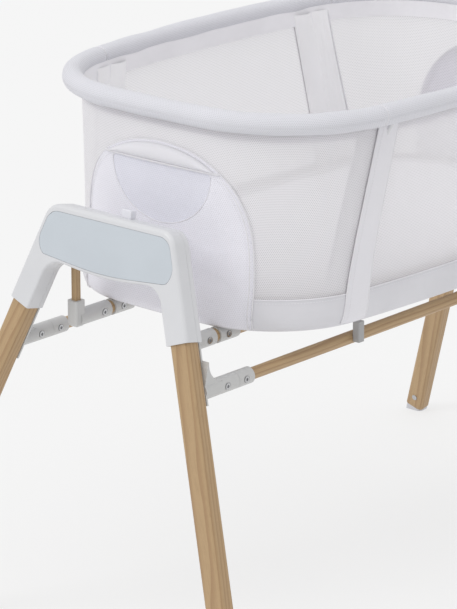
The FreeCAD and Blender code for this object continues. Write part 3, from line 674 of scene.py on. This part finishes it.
def wall_sheet(name, low, high, start, finish, columns, rows, offset, material, sag=None, crown=0.0):
    """Sheet on the wall between two heights. start(z) and finish(z) are walked lengths."""
    points = []
    uvs = []
    share = np.linspace(0, 1, columns)
    for i, z in enumerate(np.linspace(low, high, rows)):
        first = start(z)
        last = finish(z)
        walk = first + (last - first) * share
        up = i / (rows - 1)
        out = np.full(columns, float(offset))
        if sag is not None:
            out = out + sag(share, up) * np.sin(math.pi * share) ** 0.35
        if crown:
            out = out + crown * np.sin(math.pi * share) ** 0.6
        points.append(wall_points(z, walk, out))
        middle = (first + last) / 2
        uvs.append(np.stack([walk - middle, np.full(columns, z)], axis=-1))
    return surface(name, points, uvs, material)


def edge_walk(x_sign, side, edge):
    """Walked length, by height, of a corner band's edge."""
    return lambda z: walk_to_x(z, x_sign * band_edge(z, edge), side)


def hang_from_rim(low, start, finish):
    """Work out a wall sheet's flat size, which is its width halfway up by its height. Nothing is done with
    it.
    """
    middle = (low + WALL_TOP) / 2
    flat = (abs(finish(middle) - start(middle)), WALL_TOP - low)


def side_wall(side_name):
    """Mesh of one long side, from band to band."""
    side = -1 if side_name == "front" else 1
    start = edge_walk(side, side, -1)
    finish = edge_walk(-side, side, -1)
    wall = wall_sheet("side_wall_" + side_name, SKIRT_TOP - 2 * SEWN_IN, WALL_TOP + SEWN_IN,
                      start, finish, 150, 60, WALL_OUT, mesh_cloth, ripples(3 + side, 0.0016))
    on_basket(wall, "mesh_fabric", "side_mesh_" + side_name)
    hang_from_rim(SKIRT_TOP, start, finish)


def end_wall(end_name):
    """Mesh of one end, from band to band. The right end's walk passes the outline's start."""
    end = -1 if end_name == "left" else 1
    start = edge_walk(end, -end, 1)
    last = edge_walk(end, end, 1)

    def finish(z):
        walk = last(z)
        return walk if walk > start(z) else walk + wall_girth(z)

    wall = wall_sheet("end_wall_" + end_name, SKIRT_TOP - 2 * SEWN_IN, WALL_TOP + SEWN_IN,
                      start, finish, 260, 60, WALL_OUT, mesh_cloth, ripples(8 + end, 0.0012))
    on_basket(wall, "mesh_fabric", "end_mesh_" + end_name)
    hang_from_rim(SKIRT_TOP, start, finish)


def corner_band(corner):
    """Sewn band over one corner with its lining and piping. Gives back its line of stitches."""
    x_sign = -1 if corner.startswith("left") else 1
    side = -1 if corner.endswith("front") else 1
    towards_end = edge_walk(x_sign, side, 1)
    towards_middle = edge_walk(x_sign, side, -1)
    band = wall_sheet("corner_band_" + corner, BASE_Z + 0.004, WALL_TOP + SEWN_IN,
                      towards_end, towards_middle, 24, 80, BAND_OUT, cloth, crown=BAND_CROWN)
    on_basket(band, "plain_fabric", "corner_bands")
    hang_from_rim(BASE_Z, towards_end, towards_middle)
    inner = wall_sheet("corner_lining_" + corner, BASE_Z + 0.012, WALL_TOP + SEWN_IN,
                       towards_end, towards_middle, 40, 80, LINING_OUT, inner_cloth, crown=LINING_CROWN)
    on_basket(inner, "plain_fabric")
    hang_from_rim(BASE_Z, towards_end, towards_middle)
    for label, walk, out in (("end", towards_end, 0.0016), ("side", towards_middle, 0.0012)):
        heights = np.linspace(BASE_Z + 0.003, WALL_TOP - SEWN_IN, 70)
        path = [wall_points(z, [walk(z)], out)[0] for z in heights]
        radius = PIPING_R if label == "end" else PIPING_R * 0.7
        on_basket(tube(f"band_piping_{label}_{corner}", path, radius, thread), "plain_fabric")
    corner_seam(corner, x_sign, side)
    sign = 1 if towards_middle(0.6) > towards_end(0.6) else -1
    heights = np.linspace(BASE_Z + 0.006, WALL_TOP - 0.004, 70)
    return [wall_points(z, [towards_end(z) + sign * 0.006], 0.0037)[0] for z in heights]


def seam_x(z):
    """X distance of the seam inside each corner, which slants out towards the base."""
    return SEAM_TOP_X + SEAM_SLANT * (max(WALL_TOP - z, 0.0) / SEAM_DROP) ** 1.1


def corner_seam(corner, x_sign, side):
    """Gathered strip beside the seam inside a corner, with the seam's piping."""
    def seam(z):
        return walk_to_x(z, x_sign * seam_x(z), side)

    def fold(z):
        share = (WALL_TOP - z) / (WALL_TOP - SKIRT_TOP)
        return walk_to_x(z, x_sign * (seam_x(z) - FOLD_WIDTH - FOLD_SPREAD * share), side)

    strip = wall_sheet("corner_fold_" + corner, SKIRT_TOP, WALL_TOP + SEWN_IN, seam, fold, 30, 60,
                       FOLD_OUT, inner_cloth, ripples(20 + len(corner), 0.0006), FOLD_CROWN)
    on_basket(strip, "plain_fabric")
    hang_from_rim(SKIRT_TOP, seam, fold)
    heights = np.linspace(SKIRT_TOP, WALL_TOP - SEWN_IN, 60)
    path = [wall_points(z, [seam(z)], -0.0030)[0] for z in heights]
    on_basket(tube("corner_seam_" + corner, path, PIPING_R * 1.1, thread), "plain_fabric")


RING_STEPS = 720


def ring_walk(z):
    """Even steps all the way round the wall at a height, the start repeated at the end."""
    return np.arange(RING_STEPS + 1) / RING_STEPS * wall_girth(z)


def ring_sheet(name, low, high, offset, material):
    """Band of cloth all the way round the wall."""
    points = []
    uvs = []
    for z in np.linspace(low, high, 4):
        walk = ring_walk(z)
        points.append(wall_points(z, walk, offset))
        uvs.append(np.stack([walk, np.full(RING_STEPS + 1, z)], axis=-1))
    return surface(name, points, uvs, material)


def base_skirt():
    """Opaque band round the base that turns under it, with a sheet across the underside."""
    points = []
    uvs = []
    stations = [(z, 0.0) for z in np.linspace(SKIRT_TOP, BASE_Z + 0.012, 14)]
    stations += [(BASE_Z + rise, 0.0) for rise in (0.009, 0.0065, 0.0045, 0.003, 0.002, 0.001, 0.0)]
    stations.append((BASE_Z - 0.0003, -0.003))
    run = 0.0
    last = stations[0]
    for z, out in stations:
        run += math.hypot(z - last[0], out - last[1])
        last = (z, out)
        walk = ring_walk(max(z, BASE_Z))
        ring = wall_points(max(z, BASE_Z), walk, out + SKIRT_OUT)
        ring[:, 2] = z
        points.append(ring)
        uvs.append(np.stack([walk, np.full(RING_STEPS + 1, -run)], axis=-1))
    edge = points[-1]
    for share in np.linspace(1, 0.02, 24)[1:]:
        ring = edge * np.array([share, share, 1.0])
        points.append(ring)
        uvs.append(ring[:, :2].copy())
    skirt = surface("base_skirt_cloth", points, uvs, satin, flip=True)
    on_basket(skirt, "plain_fabric", "base_skirt")
    depth = SKIRT_TOP - BASE_Z
    area = 0.94 * 4 * BASE_OVAL[0] * BASE_OVAL[1] + wall_girth(BASE_Z) * depth


# ---------------------------------------------------------------- end panels

def arch_height(t):
    return BASE_Z + SEWN_IN + (ARCH_TOP - BASE_Z) * abs(math.sin(t)) ** ARCH_POWER


def arch_curve(count, inset=0.0):
    """(y, z) points of the arch from back to front, moved inwards by an inset."""
    t = np.linspace(0.004, math.pi - 0.004, 400)
    y = ARCH_HALF * np.cos(t)
    z = np.array([arch_height(v) for v in t])
    y = np.concatenate([[ARCH_HALF], y, [-ARCH_HALF]])
    z = np.concatenate([[BASE_Z + 2 * SEWN_IN], z, [BASE_Z + 2 * SEWN_IN]])
    walked = np.concatenate([[0], np.cumsum(np.hypot(np.diff(y), np.diff(z)))])
    even = np.linspace(0, walked[-1], count)
    y = np.interp(even, walked, y)
    z = np.interp(even, walked, z)
    ty = np.gradient(y)
    tz = np.gradient(z)
    length = np.hypot(ty, tz)
    return np.stack([y + tz / length * -inset, z + ty / length * inset], axis=-1)


def pocket_curve(count, inset=0.0):
    """(y, z) points round the pocket's D shape: the bowl from back to front, then the chord above it."""
    t = np.linspace(0, math.pi, 200)
    drop = GRIP_Z - POCKET_LOW
    y = (POCKET_HALF - inset) * np.cos(-t)
    z = GRIP_Z - POCKET_CORNER - (drop - POCKET_CORNER - inset) * np.sin(t)
    chord = np.linspace(-POCKET_HALF + POCKET_CORNER, POCKET_HALF - POCKET_CORNER, 60)
    top = np.stack([chord, np.full(60, GRIP_Z - inset)], axis=-1)
    low = np.stack([y, z], axis=-1)
    both = np.concatenate([low, top])
    both = np.concatenate([both, both[:1]])
    walked = walked_along(both)
    even = np.linspace(0, walked[-1], count, endpoint=False)
    return np.stack([np.interp(even, walked, both[:, k]) for k in range(2)], axis=-1)


def by_angle(curve, centre, angles):
    """Points of a closed (y, z) curve at given angles about a centre inside it."""
    rel = curve - centre
    found = np.unwrap(np.arctan2(rel[:, 1], rel[:, 0]))
    if found[-1] < found[0]:
        found = found[::-1]
        rel = rel[::-1]
    radius = np.hypot(rel[:, 0], rel[:, 1])
    wrapped = np.concatenate([found - 2 * math.pi, found, found + 2 * math.pi])
    reach = np.interp(angles, wrapped, np.concatenate([radius] * 3))
    return centre + np.stack([np.cos(angles), np.sin(angles)], axis=-1) * reach[:, None]


def panel_outline():
    """The whole arch panel's closed outline, its straight bottom edge included."""
    bottom_y = np.linspace(-ARCH_HALF, ARCH_HALF, 120)[1:-1]
    bottom = np.stack([bottom_y, np.full(len(bottom_y), BASE_Z + 2 * SEWN_IN)], axis=-1)
    return np.concatenate([arch_curve(600), bottom])


def on_end(points, end, offset):
    """(y, z) points laid on an end wall, moved outwards by one offset or by one for each point."""
    offsets = np.broadcast_to(offset, (len(points),))
    return np.array([end_point(y, z, end, o) for (y, z), o in zip(points, offsets)])


def arch_panel(end_name):
    """Opaque panel sewn over the end wall, with a D-shaped opening under the grip."""
    end = -1 if end_name == "left" else 1
    angles = np.linspace(-math.pi, math.pi, 241)
    outer = by_angle(panel_outline(), PANEL_CENTRE, angles)
    inner = by_angle(pocket_curve(400), PANEL_CENTRE, angles)
    rows = []
    uvs = []
    steps = 26
    for i in range(steps + 1):
        share = i / steps
        ring = inner + (outer - inner) * share
        lift = PANEL_LIFT + 0.0012 * math.sin(math.pi * share) ** 0.5
        rows.append(on_end(ring, end, lift if i < steps else 0.0006))
        uvs.append(ring)
    panel = surface("arch_cloth_" + end_name, rows, uvs, panel_cloth, flip=end > 0)
    on_basket(panel, "plain_fabric", "arch_panel_" + end_name)
    return [on_end(arch_curve(260, inset), end, 0.0033) for inset in (0.0026, 0.0085)]


def arch_piping(end_name):
    """The double seam round the arch."""
    end = -1 if end_name == "left" else 1
    for label, inset in (("outer", 0.0), ("inner", 0.0052)):
        path = on_end(arch_curve(260, inset), end, 0.0017)
        on_basket(tube(f"arch_piping_{label}_{end_name}", path, PIPING_R * 0.8, thread), "plain_fabric")


def hand_pocket(end_name):
    """Lining of the hand hole, just inside the panel's face, and the binding round the hole."""
    end = -1 if end_name == "left" else 1
    angles = np.linspace(-math.pi, math.pi, 161)
    edge = by_angle(pocket_curve(400, 0.0005), PANEL_CENTRE, angles)
    rows = []
    uvs = []
    for share in np.linspace(1, 0.0005, 18):
        ring = PANEL_CENTRE + (edge - PANEL_CENTRE) * share
        depth = 0.0014 - 0.0012 * (1 - share ** 6)
        rows.append(on_end(ring, end, depth))
        uvs.append(ring)
    pocket = surface("pocket_lining_" + end_name, rows, uvs, lining, flip=end < 0)
    on_basket(pocket, "plain_fabric", "hand_pockets")
    rim = on_end(pocket_curve(180), end, 0.0016)
    on_basket(tube("pocket_binding_" + end_name, rim, 0.0008, cloth, closed=True), "plain_fabric")


GRIP_CROWN = 0.0075


def carry_grip(end_name):
    """Padded crescent between the straight piping and the top of the arch."""
    end = -1 if end_name == "left" else 1
    columns = 90
    rows_count = 18
    y = np.linspace(-1, 1, columns) * (GRIP_HALF - 0.001)
    arch = arch_curve(800, 0.004)
    order = np.argsort(arch[:, 0])
    top = np.interp(y, arch[order, 0], arch[order, 1])
    low = np.full(columns, GRIP_Z + 0.0005)
    top = np.maximum(top, low + 0.001)
    rows = []
    uvs = []
    for i in range(2 * rows_count):
        front = i < rows_count
        share = i / (rows_count - 1) if front else 1 - (i - rows_count) / (rows_count - 1)
        z = low + (top - low) * share
        round_end = np.clip(1 - np.abs(y / GRIP_HALF) ** 5, 0, 1) ** 0.5
        crown = GRIP_CROWN * math.sqrt(max(0.0, math.sin(math.pi * share)))
        swell = crown * round_end if front else np.zeros(columns)
        ring = np.stack([y, z], axis=-1)
        rows.append(on_end(ring, end, 0.0022 + swell))
        uvs.append(ring)
    points = np.concatenate(rows)
    faces = grid_faces(2 * rows_count, columns, wrap_rows=True, flip=end > 0)
    grip = make_object("grip_pad_" + end_name, points, faces, cloth, np.concatenate(uvs))
    on_basket(grip, "plain_fabric", "carry_grip_" + end_name)
    ys = np.linspace(-GRIP_HALF - 0.004, GRIP_HALF + 0.004, 60)
    chord = on_end(np.stack([ys, np.full(60, GRIP_Z - 0.0005)], axis=-1), end, 0.0034)
    on_basket(tube("grip_piping_" + end_name, chord, 0.0017, thread), "plain_fabric")


# ---------------------------------------------------------------- mattress

MATTRESS_SPARE = 0.004


def mattress():
    """Foam pad in its cover: a soft block that cloth pressure plumps between its edges."""
    low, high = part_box("mattress")
    a = high[0] - MATTRESS_SPARE
    b = high[1] - MATTRESS_SPARE
    middle = (low[2] + high[2]) / 2
    half = (high[2] - low[2]) / 2 - MATTRESS_SPARE / 2
    outline = oval((a, b, 2.420, 1.835, 0.126))
    count = 220
    walk = np.arange(count) / count * outline[2][-1]
    rows = []
    profile = [(0.02, -1.0), (0.5, -1.0), (0.9, -1.0), (0.975, -0.93), (1.0, -0.5), (1.0, 0.5), (0.975, 0.93),
               (0.9, 1.0), (0.5, 1.0), (0.02, 1.0)]
    x, y = along_outline(outline, walk)
    for scale, height in profile:
        rows.append(np.stack([x * scale, y * scale, np.full(count, middle + half * height)], axis=-1))
    points = np.concatenate(rows)
    faces = grid_faces(len(rows), count, wrap_columns=True)
    faces.append(tuple(range(count))[::-1])
    faces.append(tuple(range((len(rows) - 1) * count, len(rows) * count)))
    pad = make_object("mattress_pad", points, faces, mattress_cloth)
    ceiling = high[2] + MATTRESS_SPARE
    plump(pad, voxel=0.006, pressure=4.0, most=0.006, floor=low[2], ceiling=ceiling)
    add_box_uvs(pad)
    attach(pad, "mattress")
    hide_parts("mattress")
    x, y = along_outline(outline, np.arange(400) / 400 * outline[2][-1], 0.0015)
    for label, level in (("top", half * 0.82), ("bottom", -half * 0.82)):
        path = np.stack([x * 0.995, y * 0.995, np.full(400, middle + level)], axis=-1)
        piping = tube("mattress_piping_" + label, path, 0.0018, mattress_cloth, closed=True)
        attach(piping, "mattress")


def plump(pad, voxel, pressure, most, floor, ceiling):
    """Remesh a pad and blow it up as cloth, with no point moving more than a set distance."""
    bpy.context.view_layer.objects.active = pad
    remesh = pad.modifiers.new("remesh", "REMESH")
    remesh.mode = "VOXEL"
    remesh.voxel_size = voxel
    bpy.ops.object.modifier_apply(modifier=remesh.name)
    start = vertices_of(pad)
    sim = pad.modifiers.new("cloth", "CLOTH")
    sim.settings.use_pressure = True
    sim.settings.uniform_pressure_force = pressure
    sim.settings.effector_weights.gravity = 0.0
    sim.settings.tension_stiffness = 30
    sim.settings.compression_stiffness = 30
    scene = bpy.context.scene
    for number in range(1, 21):
        scene.frame_set(number)
    graph = bpy.context.evaluated_depsgraph_get()
    moved = vertices_of(pad.evaluated_get(graph))
    pad.modifiers.remove(sim)
    scene.frame_set(1)
    shift = moved - start
    far = np.linalg.norm(shift, axis=1)
    shift *= np.minimum(1, most / np.maximum(far, 1e-9))[:, None]
    points = start + shift
    points[:, 2] = np.clip(points[:, 2], floor, ceiling)
    pad.data.vertices.foreach_set("co", points.astype(np.float32).ravel())
    pad.data.update()
    finer = pad.modifiers.new("finer", "SUBSURF")
    finer.levels = 1
    finer.render_levels = 1
    bpy.ops.object.modifier_apply(modifier=finer.name)
    pad.data.shade_smooth()


def vertices_of(thing):
    found = np.empty(len(thing.data.vertices) * 3, dtype=np.float32)
    thing.data.vertices.foreach_get("co", found)
    return found.reshape(-1, 3).astype(float)


def add_box_uvs(thing):
    """UVs in metres, seen from above, for a weave."""
    mesh = thing.data
    layer = mesh.uv_layers[0] if mesh.uv_layers else mesh.uv_layers.new(name="UVMap")
    index = np.empty(len(mesh.loops), dtype=np.int32)
    mesh.loops.foreach_get("vertex_index", index)
    points = vertices_of(thing)
    flat = np.stack([points[:, 0] + points[:, 2] * 0.4, points[:, 1] + points[:, 2] * 0.6], axis=-1)
    layer.data.foreach_set("uv", flat[index].astype(np.float32).ravel())


# ---------------------------------------------------------------- CAD parts that keep their shape

def paint_node(name, material):
    """Give a CAD node one material."""
    slots = NODES[name].data.materials
    slots.clear()
    slots.append(material)


def leg_direction(name):
    """Direction up along a leg, which leans in from its foot."""
    low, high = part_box(name)
    x_sign = -1 if "_left_" in name else 1
    y_sign = -1 if name.endswith("front") else 1
    return (-x_sign * (high[0] - low[0]), -y_sign * (high[1] - low[1]), high[2] - low[2])


def paint_stand():
    for end in ENDS:
        for part in ("saddle_shell_", "saddle_cover_", "hanger_plate_"):
            paint_node(part + end, white_plastic)
        paint_node("saddle_inlay_" + end, inlay_plastic)
        paint_node("lock_tab_" + end, tab_plastic)
        paint_node("pivot_pin_" + end, bright_steel)
    for number, corner in enumerate(CORNERS):
        for part in ("leg_bracket_", "rail_collar_", "cradle_connector_"):
            paint_node(part + corner, arm_plastic)
        leg = "leg_" + corner
        paint_node(leg, wood("wood_" + leg, leg_direction(leg), 3.1 * number + 0.7))
        paint_node("hanger_post_" + corner, wood("wood_post_" + corner, (0, 0, 1), 1.3 * number + 9.0))
    for number, side in enumerate(SIDES):
        paint_node("outer_rail_" + side, wood("wood_outer_" + side, (1, 0, 0), 2.3 * number + 5.0))
        paint_node("cradle_rail_" + side, wood("wood_cradle_" + side, (1, 0, 0), 4.3 * number + 6.0))
    paint_node("base_board", wood("wood_board", (1, 0, 0), 20.0))
    for name in ("cover_screws", "glide_screws", "rail_bolts", "cradle_bolts"):
        paint_node(name, bright_steel)
    for name in ("leg_glides", "pivot_bushes"):
        paint_node(name, grey_plastic)
    paint_node("rail_bumpers", stop_plastic)
    paint_node("seat_collars", arm_plastic)
    for name in ("rim_tube", "corner_stays"):
        paint_node(name, coated_steel)


# ---------------------------------------------------------------- stage

LENS = 210.63
CAMERA_PLACE = (-3.73167, -3.04411, 1.89539)
CAMERA_FORWARD = (0.71893, 0.62685, -0.30032)


def make_camera():
    data = bpy.data.cameras.new("camera")
    data.lens = LENS
    data.sensor_width = 36.0
    data.clip_end = 100.0
    camera = bpy.data.objects.new("camera", data)
    bpy.context.scene.collection.objects.link(camera)
    camera.location = CAMERA_PLACE
    forward = np.array(CAMERA_FORWARD)
    camera.rotation_mode = "XYZ"
    pitch = math.acos(-forward[2] / np.linalg.norm(forward))
    heading = math.atan2(-forward[0], forward[1])
    camera.rotation_euler = (pitch, 0.0, heading)
    bpy.context.scene.camera = camera


def sun_light(name, source, strength, spread):
    """Distant light from a direction, with its angular size in degrees."""
    data = bpy.data.lights.new(name, "SUN")
    data.energy = strength
    data.angle = math.radians(spread)
    light = bpy.data.objects.new(name, data)
    bpy.context.scene.collection.objects.link(light)
    flat = math.hypot(source[0], source[1])
    light.rotation_euler = (math.atan2(flat, source[2]), 0.0, math.atan2(source[0], -source[1]))


SKY_STRENGTH = 0.72
FLOOR_REACH = 30.0
FLOOR_GLOW = 0.665
FLOOR_PALE = (0.24, 0.24, 0.24)
FLOOR_PALER = (0.25, 0.25, 0.25)


def make_stage():
    scene = bpy.context.scene
    scene.view_settings.view_transform = "Standard"
    world = bpy.data.worlds.new("studio")
    scene.world = world
    world.use_nodes = True
    sky = world.node_tree.nodes["Background"].inputs
    sky["Color"].default_value = (1.0, 1.0, 1.0, 1)
    sky["Strength"].default_value = SKY_STRENGTH
    sun_light("key", (-0.72, 0.30, 0.62), strength=0.66, spread=22)
    sun_light("top", (-0.1, -0.1, 1.0), strength=0.62, spread=60)
    corners = [(-FLOOR_REACH, -FLOOR_REACH, 0), (FLOOR_REACH, -FLOOR_REACH, 0),
               (FLOOR_REACH, FLOOR_REACH, 0), (-FLOOR_REACH, FLOOR_REACH, 0)]
    floor = make_object("floor", corners, [(0, 1, 2, 3)], floor_material(), smooth=False)


def floor_material():
    """Matt pale floor that glows a little, so that it is even behind the whole object."""
    paint = Paint("studio_floor", FLOOR_PALE, 1.0, Specular_IOR_Level=0.0,
                  Emission_Color=(1.0, 1.0, 1.0, 1), Emission_Strength=FLOOR_GLOW)
    cloud = paint.noise(paint.place(), 0.5, 2.0)
    paint.colour(paint.mix(cloud, FLOOR_PALE, FLOOR_PALER))
    return paint.material


# ---------------------------------------------------------------- the bassinet

def make_basket():
    """The soft parts, in the order that they are sewn."""
    rim_pad()
    for number, joint in enumerate(RIM_JOINTS):
        on_basket(tube(f"rim_join_{number}", rim_ring(joint), 0.0007, thread, closed=True), "rim_fabric")
    sewn = []
    for side in SIDES:
        side_wall(side)
    for end in ENDS:
        end_wall(end)
        sewn += arch_panel(end)
        arch_piping(end)
        hand_pocket(end)
        carry_grip(end)
    for corner in CORNERS:
        sewn.append(corner_band(corner))
    hem = ring_sheet("rim_hem", WALL_TOP - 0.006, WALL_TOP + 0.004, HEM_OUT, satin)
    on_basket(hem, "plain_fabric")
    girth = wall_girth(WALL_TOP)
    facing = ring_sheet("rim_facing", WALL_TOP - 0.016, WALL_TOP + 0.008, FACING_OUT, facing_cloth)
    on_basket(facing, "plain_fabric")
    base_skirt()
    walk = ring_walk(SKIRT_TOP)
    seam = wall_points(SKIRT_TOP, walk[:-1], 0.0005)
    on_basket(tube("skirt_seam", seam, 0.0009, cloth, closed=True), "plain_fabric")
    sewn.append(wall_points(SKIRT_TOP - 0.004, walk, 0.0016))
    on_basket(stitches("basket_stitches", sewn, thread), "plain_fabric")
    mattress()


make_camera()
make_stage()
paint_stand()
make_basket()
